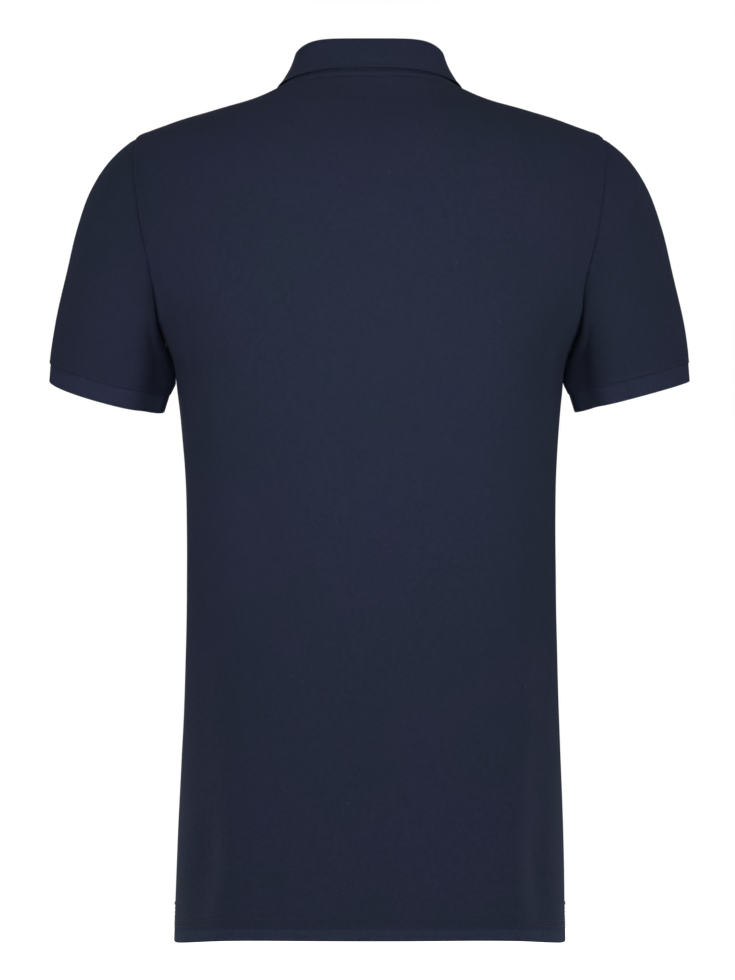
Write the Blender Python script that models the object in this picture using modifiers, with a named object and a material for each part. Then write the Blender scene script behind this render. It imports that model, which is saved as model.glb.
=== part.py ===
"""A short-sleeved polo shirt, filled out as if worn, with nobody inside it.

The front faces -Y and the wearer's left is +X. The origin lies midway between the two points
where the shoulders meet the neck, because that is where the shirt hangs on its wearer.

The body of the shirt is one surface, torso(level, turn): a stack of ovals from the hem up to
the neck. The front and the back are cut out of it. `level` is the distance up the side, in
metres. `turn` goes round an oval in radians: nothing at the middle of the back, a quarter
turn at the wearer's left and a half turn at the middle of the front.
"""

import math

import bpy
import numpy as np
from mathutils import Vector

# Walls and seams, in metres.
PIQUE_WALL = 0.0015
RIB_WALL = 0.0020
SEAM_GAP = 0.0003
HEM_HEIGHT = 0.0200
HEM_WALL = 0.0026  # two layers, pressed together
HEM_STEP = 0.0006  # height over which the wall thins above the hem
VENT_HEIGHT = 0.0310
VENT_SPREAD = 0.0030

QUARTER = math.pi / 2
HALF = math.pi

# The ovals of the body, hem to neck. side_z and half_width give the outline seen from the
# back, back_y and front_y the one seen from the side, back_z and front_z how high the oval
# stands at the middle of each panel. square is 2 for an ellipse and more for fuller corners.
# lean is how far the middle of the oval lies to the wearer's left.
#    side_z, half_width, back_y, front_y,  back_z, front_z, square, lean
TORSO = (
    (-0.7180, 0.1660, 0.1090, -0.1170, -0.7105, -0.7160, 2.5, 0.0000),  # hem
    (-0.6200, 0.1634, 0.1070, -0.1160, -0.6140, -0.6190, 2.5, -0.0010),
    (-0.5210, 0.1592, 0.1030, -0.1130, -0.5180, -0.5210, 2.5, -0.0016),
    (-0.4190, 0.1568, 0.1000, -0.1110, -0.4180, -0.4190, 2.5, -0.0016),  # waist
    (-0.3170, 0.1578, 0.1050, -0.1145, -0.3170, -0.3170, 2.5, -0.0010),
    (-0.2560, 0.1630, 0.1095, -0.1190, -0.2560, -0.2560, 2.5, -0.0003),
    (-0.2240, 0.1678, 0.1120, -0.1210, -0.2240, -0.2240, 2.4, 0.0000),
    (-0.2000, 0.1800, 0.1130, -0.1220, -0.2000, -0.2040, 2.4, 0.0000),  # underarm
    (-0.1760, 0.1985, 0.1130, -0.1220, -0.1770, -0.1830, 2.3, 0.0000),
    (-0.1500, 0.2145, 0.1120, -0.1210, -0.1515, -0.1620, 2.3, 0.0000),
    (-0.1180, 0.2270, 0.1095, -0.1190, -0.1205, -0.1400, 2.3, 0.0000),
    (-0.0850, 0.2270, 0.1050, -0.1150, -0.0885, -0.1210, 2.3, 0.0000),
    (-0.0580, 0.2170, 0.0990, -0.1090, -0.0620, -0.1070, 2.3, 0.0000),
    (-0.0368, 0.1985, 0.0920, -0.1020, -0.0412, -0.0960, 2.3, 0.0000),  # shoulder tip
    (-0.0253, 0.1720, 0.0835, -0.0915, -0.0263, -0.0865, 2.3, 0.0000),
    (-0.0144, 0.1380, 0.0740, -0.0785, -0.0115, -0.0770, 2.2, 0.0000),
    (-0.0045, 0.1000, 0.0635, -0.0640, 0.0055, -0.0690, 2.1, 0.0000),
    (0.0012, 0.0765, 0.0550, -0.0520, 0.0245, -0.0650, 2.1, 0.0000),  # neck
)
UNDERARM_ROW = 7
TIP_ROW = 13

# How far each panel is cut in at the middle of its armhole, as a turn from the side.
BACK_ARMHOLE = math.radians(35)
FRONT_ARMHOLE = math.radians(38)

# Soft folds of the filled-out body. Each runs from one turn and height to another, with turns
# and half_width in degrees. A depth below nothing sinks in, and one above it stands out.
#    turn_low, z_low, turn_high, z_high, half_width, depth
FOLDS = (
    (60, -0.760, 57, -0.330, 10, -0.0030),  # left side, towards the back
    (-59, -0.760, -61, -0.300, 9, -0.0035),  # right side, towards the back
    (14, -0.420, 4, -0.060, 6, -0.0012),  # middle of the back
    (118, -0.760, 126, -0.380, 10, -0.0030),  # left side, towards the front
    (-120, -0.760, -128, -0.350, 9, -0.0030),  # right side, towards the front
    (-72, -0.330, -64, -0.200, 8, 0.0015),  # under the right arm
    (72, -0.340, 63, -0.200, 8, 0.0015),  # under the left arm
)

# The sleeve, armhole to cuff, on the wearer's left: where each section's outer and inner
# sides lie in the outline seen from the back, and how far it reaches back and forward.
#    outer_x, outer_z, inner_x, inner_z, back_y, front_y
SLEEVE = (
    (0.1985, -0.0368, 0.1800, -0.2000, 0.0690, -0.0760),
    (0.2192, -0.0540, 0.1764, -0.2085, 0.0680, -0.0750),
    (0.2362, -0.0794, 0.1724, -0.2160, 0.0650, -0.0730),
    (0.2483, -0.1134, 0.1685, -0.2240, 0.0600, -0.0690),
    (0.2578, -0.1520, 0.1666, -0.2320, 0.0545, -0.0650),
    (0.2669, -0.1920, 0.1658, -0.2420, 0.0480, -0.0610),
    (0.2720, -0.2270, 0.1672, -0.2540, 0.0430, -0.0580),
)
SLEEVE_SQUARE = 2.1
# Between these heights of the armhole, as cosines from its top, its edge turns from the
# sleeve's direction to the body's.
OVER_SHOULDER = (-0.25, 0.25)

# The edge of the rib cuff in the same columns, and how far the cuff lies inside the sleeve.
CUFF_EDGE = (0.2722, -0.2428, 0.1730, -0.2693, 0.0410, -0.0560)
CUFF_INSET = 0.0010
# How much lower the back of each cuff hangs than its front, left (1) and right (-1).
CUFF_BACK_DROP = {1: 0.0066, -1: 0.0020}

# The collar: the ovals of its foot, inside the neck, and of its fold, in TORSO's columns.
COLLAR_FOOT = (-0.0015, 0.0747, 0.0527, -0.0496, 0.0215, -0.0675, 2.1)
COLLAR_FOLD = (0.0335, 0.0604, 0.0470, -0.0450, 0.0425, -0.0480, 3.2)
FOLD_RADIUS = 0.0020
COLLAR_END = math.radians(171)
# The free edge of the leaf, from the middle of the back to the point in front. bulge is how
# far the leaf stands out between the fold and this edge.
#    turn in degrees, x, y, z, bulge
LEAF_EDGE = (
    (0, 0.0000, 0.0592, 0.0209, -0.0010),
    (35, 0.0425, 0.0530, 0.0185, -0.0010),
    (65, 0.0690, 0.0330, 0.0120, -0.0020),
    (90, 0.0795, 0.0010, 0.0050, -0.0022),
    (120, 0.0830, -0.0400, -0.0200, 0.0010),
    (145, 0.0740, -0.0800, -0.0600, 0.0060),
    (162, 0.0600, -0.1030, -0.0920, 0.0090),
    (171, 0.0490, -0.1090, -0.1050, 0.0100),
)

# The placket and its buttons, on the middle of the front.
PLACKET_WIDTH = 0.030
UNDER_PLACKET_DROP = 2  # rows below the neck, clear of the collar's foot
BUTTON_HEIGHTS = (-0.0850, -0.1350, -0.1850)
BUTTON_RADIUS = 0.0057
BUTTON_HEIGHT = 0.0026
BUTTON_RIM = 0.0012
BUTTON_DISH = 0.0007

# Rows and columns of the panels.
BODY_ROWS = 15
ROW_CROWDING = 1.4  # above 1, the body's rows crowd together towards the underarm
ARMHOLE_ROWS = 14  # a sleeve has one column for each of these, behind and in front
SHOULDER_ROWS = 7
SIDE_COLUMNS = 11  # from the placket's edge to the side seam
SLEEVE_ROWS = 10
CUFF_ROWS = 2
COLLAR_COLUMNS = 36
STAND_ROWS = 3
FOLD_ROWS = 4
LEAF_ROWS = 5
BUTTON_SIDES = 20
LEVEL_STEPS = 200  # to look up a level by its height
# The step, in metres and radians, over which a surface's normal is measured.
PROBE = 1e-4
MERGE = 1e-5  # points closer than this are one

NAVY = (0.0194, 0.0232, 0.0437)
BUTTON_NAVY = (0.0160, 0.0190, 0.0340)
CLOTH_ROUGHNESS = 0.85
BUTTON_ROUGHNESS = 0.35


def distances(rows):
    """Length along the curve that the first two columns draw, row by row."""
    steps = np.diff(np.array(rows)[:, :2], axis=0)
    return np.concatenate(([0.0], np.cumsum(np.hypot(steps[:, 0], steps[:, 1]))))


def smooth(rows, knots, at):
    """Every column of a table at the places `at`, on smooth curves through its rows."""
    rows = np.array(rows)
    slopes = np.gradient(rows, knots, axis=0, edge_order=2)
    at = np.asarray(at, dtype=float)
    low = np.clip(np.searchsorted(knots, at, side="right") - 1, 0, len(knots) - 2)
    gap = (knots[low + 1] - knots[low])[..., None]
    part = (at - knots[low])[..., None] / gap
    rest = 1 - part
    return (
        rows[low] * (1 + 2 * part) * rest**2
        + rows[low + 1] * (1 + 2 * rest) * part**2
        + slopes[low] * gap * part * rest**2
        - slopes[low + 1] * gap * rest * part**2
    )


def signed_power(value, exponent):
    return np.sign(value) * np.abs(value) ** exponent


def unit(vectors):
    return vectors / np.linalg.norm(vectors, axis=-1, keepdims=True)


def oval(turn, side_z, half_width, back_y, front_y, back_z, front_z, square, lean=0.0):
    """Points on one oval, whose height moves smoothly between sides, back and front."""
    across, along = np.sin(turn), np.cos(turn)
    behind = along > 0
    depth = np.where(behind, back_y, -front_y)
    middle_z = np.where(behind, back_z, front_z)
    x = lean + half_width * signed_power(across, 2 / square)
    y = depth * signed_power(along, 2 / square)
    z = side_z + (middle_z - side_z) * (1 - across**4)
    return np.stack((x, y, z), axis=-1)


def fold_push(turn, z):
    """How far the folds move the cloth outwards at this turn and height."""
    push = np.zeros(np.broadcast(turn, z).shape)
    around = (np.degrees(turn) + 180) % 360 - 180
    for turn_low, z_low, turn_high, z_high, half_width, depth in FOLDS:
        share = np.clip((z - z_low) / (z_high - z_low), 0, 1)
        centre = turn_low + (turn_high - turn_low) * share
        apart = (around - centre + 180) % 360 - 180
        push += depth * np.sin(math.pi * share) ** 2 * np.exp(-((apart / half_width) ** 2))
    return push


TORSO_KNOTS = distances(TORSO)
UNDERARM = TORSO_KNOTS[UNDERARM_ROW]
TIP = TORSO_KNOTS[TIP_ROW]
NECK = TORSO_KNOTS[-1]
SLEEVE_KNOTS = distances(SLEEVE)


def torso(level, turn):
    """The outer surface of the shirt's body."""
    level, turn = np.broadcast_arrays(level, turn)
    points = oval(turn, *np.moveaxis(smooth(TORSO, TORSO_KNOTS, level), -1, 0))
    reach = np.hypot(points[..., 0], points[..., 1])
    scale = 1 + fold_push(turn, points[..., 2]) / reach
    return points * np.stack((scale, scale, np.ones_like(scale)), axis=-1)


def torso_normal(level, turn):
    """The direction that points out of the shirt's body."""
    up = torso(level + PROBE, turn) - torso(level - PROBE, turn)
    around = torso(level, turn + PROBE) - torso(level, turn - PROBE)
    return unit(np.cross(up, around))


def level_above_hem(height):
    """The level at a height above the hem, at the side."""
    levels = np.linspace(0, UNDERARM, LEVEL_STEPS)
    return np.interp(height, torso(levels, QUARTER)[:, 2] - TORSO[0][0], levels)


def armhole_cut(share, depth):
    """Level and turn of a panel's armhole edge; share runs from 0 underarm to 1 at the tip."""
    level = UNDERARM + (TIP - UNDERARM) * (1 - np.cos(math.pi * share)) / 2
    return level, QUARTER - depth * np.sin(math.pi * share)


def panel_rows(armhole_depth):
    """The levels of a panel's rows, and how far from its middle its armhole lets it reach."""
    vent_top = level_above_hem(VENT_HEIGHT)
    share = np.linspace(0, 1, BODY_ROWS, endpoint=False)
    lower = vent_top + (UNDERARM - vent_top) * (1 - (1 - share) ** ROW_CROWDING)
    lower = np.concatenate(([0, HEM_HEIGHT, HEM_HEIGHT + HEM_STEP], lower))
    armhole, cut = armhole_cut(np.linspace(0, 1, ARMHOLE_ROWS + 1), armhole_depth)
    upper = np.linspace(TIP, NECK, SHOULDER_ROWS + 1)[1:]
    levels = np.concatenate((lower, armhole, upper))
    reach = np.full(levels.shape, QUARTER)
    reach[len(lower) : len(lower) + len(cut)] = cut
    return levels, reach


def panel_places(middle, armhole_depth):
    """Level and turn of every point of the front or back, whose middle is at turn `middle`."""
    levels, reach = panel_rows(armhole_depth)
    rows = smooth(TORSO, TORSO_KNOTS, levels)
    depth = rows[:, 2] if middle == 0 else -rows[:, 3]
    half_width, square = rows[:, 1], rows[:, 6]

    # At the side and shoulder seams each panel stops half a seam gap short of the other,
    # and at the vents the two swing apart.
    spread = VENT_SPREAD * np.clip(1 - levels / level_above_hem(VENT_HEIGHT), 0, 1)
    seam = np.arccos(((SEAM_GAP / 2 + spread) / depth) ** (square / 2))
    edge = np.minimum(reach, seam)[:, None]

    # One column follows the edge of the placket, and the rest share out the panel, drawn
    # together towards the armhole.
    placket = np.arcsin((PLACKET_WIDTH / 2 / half_width) ** (square / 2))[:, None]
    share = np.linspace(0, 1, SIDE_COLUMNS + 1)
    half = placket + (QUARTER - placket) * share - (QUARTER - edge) * share**2
    turns = np.concatenate((-half[:, ::-1], np.zeros_like(edge), half), axis=1)
    return levels[:, None], middle + turns


def on_torso(places, lift):
    """Points moved out of the body's surface by `lift`."""
    return torso(*places) + lift * torso_normal(*places)


def panel_faces(middle, armhole_depth):
    """The outer and inner points of a panel's wall, which is thicker at the hem."""
    places = panel_places(middle, armhole_depth)
    wall = np.where(places[0] < HEM_HEIGHT + HEM_STEP / 2, HEM_WALL, PIQUE_WALL)
    return on_torso(places, 0), on_torso(places, -wall[..., None])


def placket_places(top_drop):
    """The places of the front's three middle columns, from underarm height to the neck."""
    levels, turns = panel_places(HALF, FRONT_ARMHOLE)
    first = int(np.argmin(np.abs(levels - UNDERARM)))
    last = len(levels) - top_drop
    middle = SIDE_COLUMNS + 1
    return levels[first:last], turns[first:last, middle - 1 : middle + 2]


def sleeve_section(columns, around, side, drop):
    """Points on a plain section of a sleeve; `around` starts at the outer side."""
    outer_x, outer_z, inner_x, inner_z, back_y, front_y = np.moveaxis(columns, -1, 0)
    out = signed_power(np.cos(around), 2 / SLEEVE_SQUARE)
    back = signed_power(np.sin(around), 2 / SLEEVE_SQUARE)
    x = (outer_x + inner_x) / 2 + (outer_x - inner_x) / 2 * out
    z = (outer_z + inner_z) / 2 + (outer_z - inner_z) / 2 * out - drop * back
    y = np.where(back > 0, back_y * back, -front_y * back)
    return np.stack((side * x, y, z), axis=-1)


def armhole_place(around, side):
    """Level and turn of the body's armhole, where a sleeve's columns meet it."""
    around = around % math.tau
    behind = around <= math.pi
    share = np.where(behind, 1 - around / math.pi, around / math.pi - 1)
    depth = np.where(behind, BACK_ARMHOLE, FRONT_ARMHOLE)
    level, turn = armhole_cut(share, depth)
    return level, side * np.where(behind, turn, HALF - turn)


def sleeve(share, around, side):
    """The outer surface of a sleeve, from the armhole (0) into plain sections (1)."""
    share, around = np.broadcast_arrays(share, around)
    drop = CUFF_BACK_DROP[side] * share**2
    columns = smooth(SLEEVE, SLEEVE_KNOTS, share * SLEEVE_KNOTS[-1])
    plain = sleeve_section(columns, around, side, drop)
    start = sleeve_section(np.array(SLEEVE[0]), around, side, 0)
    ease = (1 - share[..., None]) ** 2
    return plain + (torso(*armhole_place(around, side)) - start) * ease


def sleeve_directions(share, around, side):
    """The way down a sleeve and the way out of it, as unit vectors."""
    down = sleeve(share + PROBE, around, side) - sleeve(share - PROBE, around, side)
    round_it = sleeve(share, around + PROBE, side) - sleeve(share, around - PROBE, side)
    return unit(down), side * unit(np.cross(down, round_it))


def around_sleeve():
    return np.linspace(0, math.tau, 2 * ARMHOLE_ROWS, endpoint=False)


def sleeve_faces(side):
    """The outer and inner points of a sleeve's wall."""
    around = around_sleeve()
    share = np.linspace(0, 1, SLEEVE_ROWS + 1)[:, None]
    outer = sleeve(share, around, side)
    down, out = sleeve_directions(share, around, side)
    outer[0] += SEAM_GAP * down[0]
    # Over the shoulder the sleeve's edge stands parallel to the body's, across the seam, and
    # it turns back to the sleeve's own direction on the way down to the underarm.
    over = np.interp(np.cos(around), OVER_SHOULDER, (0, 1))[:, None]
    body_out = torso_normal(*armhole_place(around, side))
    out[0] = unit(over * body_out + (1 - over) * out[0])
    return outer, outer - PIQUE_WALL * out


def cuff_faces(side):
    """The outer and inner points of a cuff's wall, which starts just below its sleeve."""
    around = around_sleeve()
    down, out = sleeve_directions(1.0, around, side)
    top = sleeve(1.0, around, side) + SEAM_GAP * down - CUFF_INSET * out
    edge = sleeve_section(np.array(CUFF_EDGE), around, side, CUFF_BACK_DROP[side])
    share = np.linspace(0, 1, CUFF_ROWS + 1)[:, None, None]
    outer = top + (edge - top) * share
    return outer, outer - RIB_WALL * out


def leaf_edge(turn):
    """The free edge of the collar and its bulge, the same on both sides of the neck."""
    rows = np.array(LEAF_EDGE)
    mirrored = rows[:0:-1] * (-1, -1, 1, 1, 1)
    whole = np.concatenate((mirrored, rows))
    columns = smooth(whole[:, 1:], whole[:, 0], np.degrees(turn))
    return columns[..., :3], columns[..., 3:]


def collar_grid():
    """The middle of the collar's wall: up the stand, over the fold and down the leaf."""
    turn = np.linspace(-COLLAR_END, COLLAR_END, COLLAR_COLUMNS + 1)
    foot = oval(turn, *COLLAR_FOOT)
    fold = oval(turn, *COLLAR_FOLD)
    edge, bulge = leaf_edge(turn)
    tangent = unit(oval(turn + PROBE, *COLLAR_FOLD) - oval(turn - PROBE, *COLLAR_FOLD))
    outward = unit(np.cross((0.0, 0.0, 1.0), tangent))
    up = np.cross(tangent, outward)
    inner = fold - FOLD_RADIUS * outward
    outer = fold + FOLD_RADIUS * outward
    rows = []
    for share in np.linspace(0, 1, STAND_ROWS, endpoint=False):
        rows.append(foot + (inner - foot) * share)
    for angle in np.linspace(0, math.pi, FOLD_ROWS, endpoint=False):
        rows.append(fold + FOLD_RADIUS * (math.sin(angle) * up - math.cos(angle) * outward))
    for share in np.linspace(0, 1, LEAF_ROWS + 1):
        lift = bulge * 4 * share * (1 - share) * unit(outward + up)
        rows.append(outer + (edge - outer) * share + lift)
    return np.array(rows)


def clear_scene():
    for obj in list(bpy.data.objects):
        bpy.data.objects.remove(obj, do_unlink=True)


def fabric(name, colour, roughness):
    material = bpy.data.materials.new(name)
    material.use_nodes = True
    shader = material.node_tree.nodes["Principled BSDF"]
    shader.inputs["Base Color"].default_value = (*colour, 1)
    shader.inputs["Roughness"].default_value = roughness
    shader.inputs["Metallic"].default_value = 0
    return material


def add_object(name, mesh, material, collection, mount):
    mesh.materials.append(material)
    obj = bpy.data.objects.new(name, mesh)
    obj.parent = mount
    collection.objects.link(obj)
    return obj


def strip_faces(first, second):
    """Faces between two rows of point numbers."""
    return [
        (first[column], second[column], second[column + 1], first[column + 1])
        for column in range(len(first) - 1)
    ]


def numbered(grid, start, closed):
    """The numbers of a grid's points, with the first column again at the end if closed."""
    numbers = start + np.arange(grid.shape[0] * grid.shape[1]).reshape(grid.shape[:2])
    return np.concatenate((numbers, numbers[:, :1]), axis=1) if closed else numbers


def add_wall(name, outer, inner, where, closed=False):
    """Cloth between two lofted faces with the same rows and columns."""
    front = numbered(outer, 0, closed)
    rear = numbered(inner, front.max() + 1, closed)
    faces = []
    for row in range(len(outer) - 1):
        faces += strip_faces(front[row], front[row + 1])
        faces += strip_faces(rear[row + 1], rear[row])
    faces += strip_faces(rear[0], front[0])
    faces += strip_faces(front[-1], rear[-1])
    if not closed:
        faces += strip_faces(front[:, 0], rear[:, 0])
        faces += strip_faces(rear[:, -1], front[:, -1])
    mesh = bpy.data.meshes.new(name)
    mesh.from_pydata(np.concatenate((outer, inner)).reshape(-1, 3).tolist(), [], faces)
    mesh.shade_smooth()
    return add_object(name, mesh, fabric(name + "_cloth", NAVY, CLOTH_ROUGHNESS), *where)


def add_collar(name, where):
    """The collar's strip: its middle is a lofted sheet, thickened both ways."""
    grid = collar_grid()
    numbers = numbered(grid, 0, False)
    faces = []
    for row in range(len(grid) - 1):
        faces += strip_faces(numbers[row], numbers[row + 1])
    mesh = bpy.data.meshes.new(name)
    mesh.from_pydata(grid.reshape(-1, 3).tolist(), [], faces)
    mesh.shade_smooth()
    collar = add_object(name, mesh, fabric(name + "_rib", NAVY, CLOTH_ROUGHNESS), *where)
    wall = collar.modifiers.new("wall", "SOLIDIFY")
    wall.thickness = RIB_WALL
    wall.offset = 0
    return collar


def add_button(name, height, where):
    """A turned button, lying on the placket at the row nearest to a height."""
    profile = (
        (0.0, BUTTON_HEIGHT - BUTTON_DISH),
        (BUTTON_RADIUS - 2 * BUTTON_RIM, BUTTON_HEIGHT - BUTTON_DISH),
        (BUTTON_RADIUS - BUTTON_RIM, BUTTON_HEIGHT),
        (BUTTON_RADIUS - BUTTON_RIM / 2, BUTTON_HEIGHT),
        (BUTTON_RADIUS, BUTTON_HEIGHT / 2),
        (BUTTON_RADIUS - BUTTON_RIM / 2, 0.0),
        (0.0, 0.0),
    )
    mesh = bpy.data.meshes.new(name)
    edges = [(index, index + 1) for index in range(len(profile) - 1)]
    mesh.from_pydata([(radius, 0, z) for radius, z in profile], edges, [])
    material = fabric(name + "_plastic", BUTTON_NAVY, BUTTON_ROUGHNESS)
    button = add_object(name, mesh, material, *where)
    turned = button.modifiers.new("turned", "SCREW")
    turned.steps = BUTTON_SIDES
    turned.render_steps = BUTTON_SIDES
    turned.use_merge_vertices = True
    turned.merge_threshold = MERGE
    levels = placket_places(0)[0][:, 0]
    level = levels[np.argmin(np.abs(torso(levels, HALF)[:, 2] - height))]
    button.location = on_torso((level, HALF), PIQUE_WALL + 2 * SEAM_GAP)
    normal = Vector(torso_normal(level, HALF))
    button.rotation_euler = normal.to_track_quat("Z", "Y").to_euler()


def faces_of(make, side):
    """A sleeve's or cuff's two faces; on the right its columns run the other way round."""
    return [face[:, ::side] for face in make(side)]


def build():
    clear_scene()
    collection = bpy.data.collections.new("polo_shirt")
    bpy.context.scene.collection.children.link(collection)
    mount = bpy.data.objects.new("wearer_neck", None)
    collection.objects.link(mount)
    where = (collection, mount)

    add_wall("back", *panel_faces(0, BACK_ARMHOLE), where)
    add_wall("front", *panel_faces(HALF, FRONT_ARMHOLE), where)
    for side, side_name in ((1, "left"), (-1, "right")):
        add_wall("sleeve_" + side_name, *faces_of(sleeve_faces, side), where, closed=True)
        add_wall("cuff_" + side_name, *faces_of(cuff_faces, side), where, closed=True)
    add_collar("collar", where)

    over = placket_places(0)
    add_wall("placket_top", on_torso(over, SEAM_GAP + PIQUE_WALL), on_torso(over, SEAM_GAP), where)
    under = placket_places(UNDER_PLACKET_DROP)
    behind = -PIQUE_WALL - SEAM_GAP
    add_wall("placket_under", on_torso(under, behind), on_torso(under, behind - PIQUE_WALL), where)
    for number, height in enumerate(BUTTON_HEIGHTS, start=1):
        add_button("button_%d" % number, height, where)


build()
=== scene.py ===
"""The look of the polo shirt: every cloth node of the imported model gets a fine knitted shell.

The shells follow the same surfaces as the CAD solids, in metres and in the row frame. `level` is
the distance up the side of the body, and `turn` goes round it in radians: nothing at the middle
of the back, a quarter turn at the wearer's left and a half turn at the middle of the front.
"""

import math

import bpy
import numpy as np
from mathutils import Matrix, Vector
from mathutils.kdtree import KDTree


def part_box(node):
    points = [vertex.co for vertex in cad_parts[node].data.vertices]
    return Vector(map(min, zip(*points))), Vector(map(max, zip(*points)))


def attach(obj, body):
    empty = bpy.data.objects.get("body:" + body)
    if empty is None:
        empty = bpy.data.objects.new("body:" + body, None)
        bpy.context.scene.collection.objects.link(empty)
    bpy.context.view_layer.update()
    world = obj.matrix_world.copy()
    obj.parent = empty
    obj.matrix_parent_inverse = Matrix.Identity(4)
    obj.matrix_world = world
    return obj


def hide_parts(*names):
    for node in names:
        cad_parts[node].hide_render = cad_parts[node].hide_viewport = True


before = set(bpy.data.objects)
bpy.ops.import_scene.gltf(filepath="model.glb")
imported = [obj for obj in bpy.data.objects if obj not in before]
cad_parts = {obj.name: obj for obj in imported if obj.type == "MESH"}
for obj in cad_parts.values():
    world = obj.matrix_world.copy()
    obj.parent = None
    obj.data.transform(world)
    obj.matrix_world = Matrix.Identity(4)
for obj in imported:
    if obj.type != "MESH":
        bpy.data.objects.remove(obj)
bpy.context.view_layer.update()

# ---- sizes, as in the CAD source
PIQUE_WALL = 0.0015
RIB_WALL = 0.0020
HEM_HEIGHT = 0.0200
HEM_WALL = 0.0026
VENT_HEIGHT = 0.0310
VENT_SPREAD = 0.0030
PLY_GAP = 0.0003  # between the front and each strip of its placket
SEAM_GAP = 0.0001  # what is left open between two sewn edges

QUARTER = math.pi / 2
HALF = math.pi

#    side_z, half_width, back_y, front_y,  back_z, front_z, square, lean
TORSO = (
    (-0.7180, 0.1660, 0.1090, -0.1170, -0.7105, -0.7160, 2.5, 0.0000),  # hem
    (-0.6200, 0.1634, 0.1070, -0.1160, -0.6140, -0.6190, 2.5, -0.0010),
    (-0.5210, 0.1592, 0.1030, -0.1130, -0.5180, -0.5210, 2.5, -0.0016),
    (-0.4190, 0.1568, 0.1000, -0.1110, -0.4180, -0.4190, 2.5, -0.0016),  # waist
    (-0.3170, 0.1578, 0.1050, -0.1145, -0.3170, -0.3170, 2.5, -0.0010),
    (-0.2560, 0.1630, 0.1095, -0.1190, -0.2560, -0.2560, 2.5, -0.0003),
    (-0.2240, 0.1678, 0.1120, -0.1210, -0.2240, -0.2240, 2.4, 0.0000),
    (-0.2000, 0.1800, 0.1130, -0.1220, -0.2000, -0.2040, 2.4, 0.0000),  # underarm
    (-0.1760, 0.1985, 0.1130, -0.1220, -0.1770, -0.1830, 2.3, 0.0000),
    (-0.1500, 0.2145, 0.1120, -0.1210, -0.1515, -0.1620, 2.3, 0.0000),
    (-0.1180, 0.2270, 0.1095, -0.1190, -0.1205, -0.1400, 2.3, 0.0000),
    (-0.0850, 0.2270, 0.1050, -0.1150, -0.0885, -0.1210, 2.3, 0.0000),
    (-0.0580, 0.2170, 0.0990, -0.1090, -0.0620, -0.1070, 2.3, 0.0000),
    (-0.0368, 0.1985, 0.0920, -0.1020, -0.0412, -0.0960, 2.3, 0.0000),  # shoulder tip
    (-0.0253, 0.1720, 0.0835, -0.0915, -0.0263, -0.0865, 2.3, 0.0000),
    (-0.0144, 0.1380, 0.0740, -0.0785, -0.0115, -0.0770, 2.2, 0.0000),
    (-0.0045, 0.1000, 0.0635, -0.0640, 0.0055, -0.0690, 2.1, 0.0000),
    (0.0012, 0.0765, 0.0550, -0.0520, 0.0245, -0.0650, 2.1, 0.0000),  # neck
)
UNDERARM_ROW = 7
TIP_ROW = 13
BACK_ARMHOLE = math.radians(35)
FRONT_ARMHOLE = math.radians(38)

# Soft folds: each runs from one turn (in degrees) and height to another, and sinks by depth,
# or stands out where depth is above nothing. The first seven are in the solids too.
#    turn_low, z_low, turn_high, z_high, half_width, depth
FOLDS = (
    (60, -0.760, 57, -0.330, 10, -0.0030),
    (-59, -0.760, -61, -0.300, 9, -0.0035),
    (14, -0.420, 4, -0.060, 6, -0.0012),
    (118, -0.760, 126, -0.380, 10, -0.0030),
    (-120, -0.760, -128, -0.350, 9, -0.0030),
    (-72, -0.330, -64, -0.200, 8, 0.0015),
    (72, -0.340, 63, -0.200, 8, 0.0015),
    # the rest are the scene's own, first on the back
    (9, -0.560, 3, -0.150, 2.2, -0.0019),
    (15, -0.470, 13, -0.230, 3.5, 0.0009),
    (31, -0.560, 30, -0.160, 8.0, -0.0032),
    (53, -0.560, 54, -0.060, 8.0, 0.0028),
    (57, -0.800, 54, -0.520, 9.0, -0.0040),
    (-16, -0.620, -12, -0.330, 5.0, -0.0008),
    (-50, -0.660, -50, -0.140, 11.0, 0.0035),
    (-59, -0.800, -56, -0.520, 9.0, -0.0040),
    (-26, -0.660, -22, -0.420, 6.0, 0.0008),
    (70, -0.300, 52, -0.170, 3.0, -0.0012),
    (-70, -0.290, -53, -0.165, 3.0, -0.0013),
    (28, -0.060, 44, -0.010, 5.0, -0.0010),
    (-30, -0.064, -46, -0.010, 5.0, -0.0010),
    (37, -0.310, 37, -0.030, 12.0, 0.0045),  # over the shoulder blades
    (-37, -0.310, -37, -0.030, 12.0, 0.0045),
    (58, -0.290, 58, -0.120, 7.0, -0.0026),  # beside the armholes
    (-58, -0.290, -58, -0.120, 7.0, -0.0026),
    # and similar ones on the front
    (168, -0.640, 172, -0.330, 4.0, -0.0008),
    (-160, -0.560, -166, -0.300, 4.5, -0.0009),
    (143, -0.600, 139, -0.260, 5.0, -0.0011),
    (-141, -0.620, -137, -0.280, 5.5, -0.0010),
    (99, -0.262, 99, -0.182, 3.5, 0.0042),  # under the arms, in front of the sleeves
    (-99, -0.262, -99, -0.198, 3.5, 0.0034),
    (110, -0.300, 128, -0.170, 3.0, -0.0012),
    (-110, -0.310, -127, -0.175, 3.0, -0.0012),
)

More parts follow.
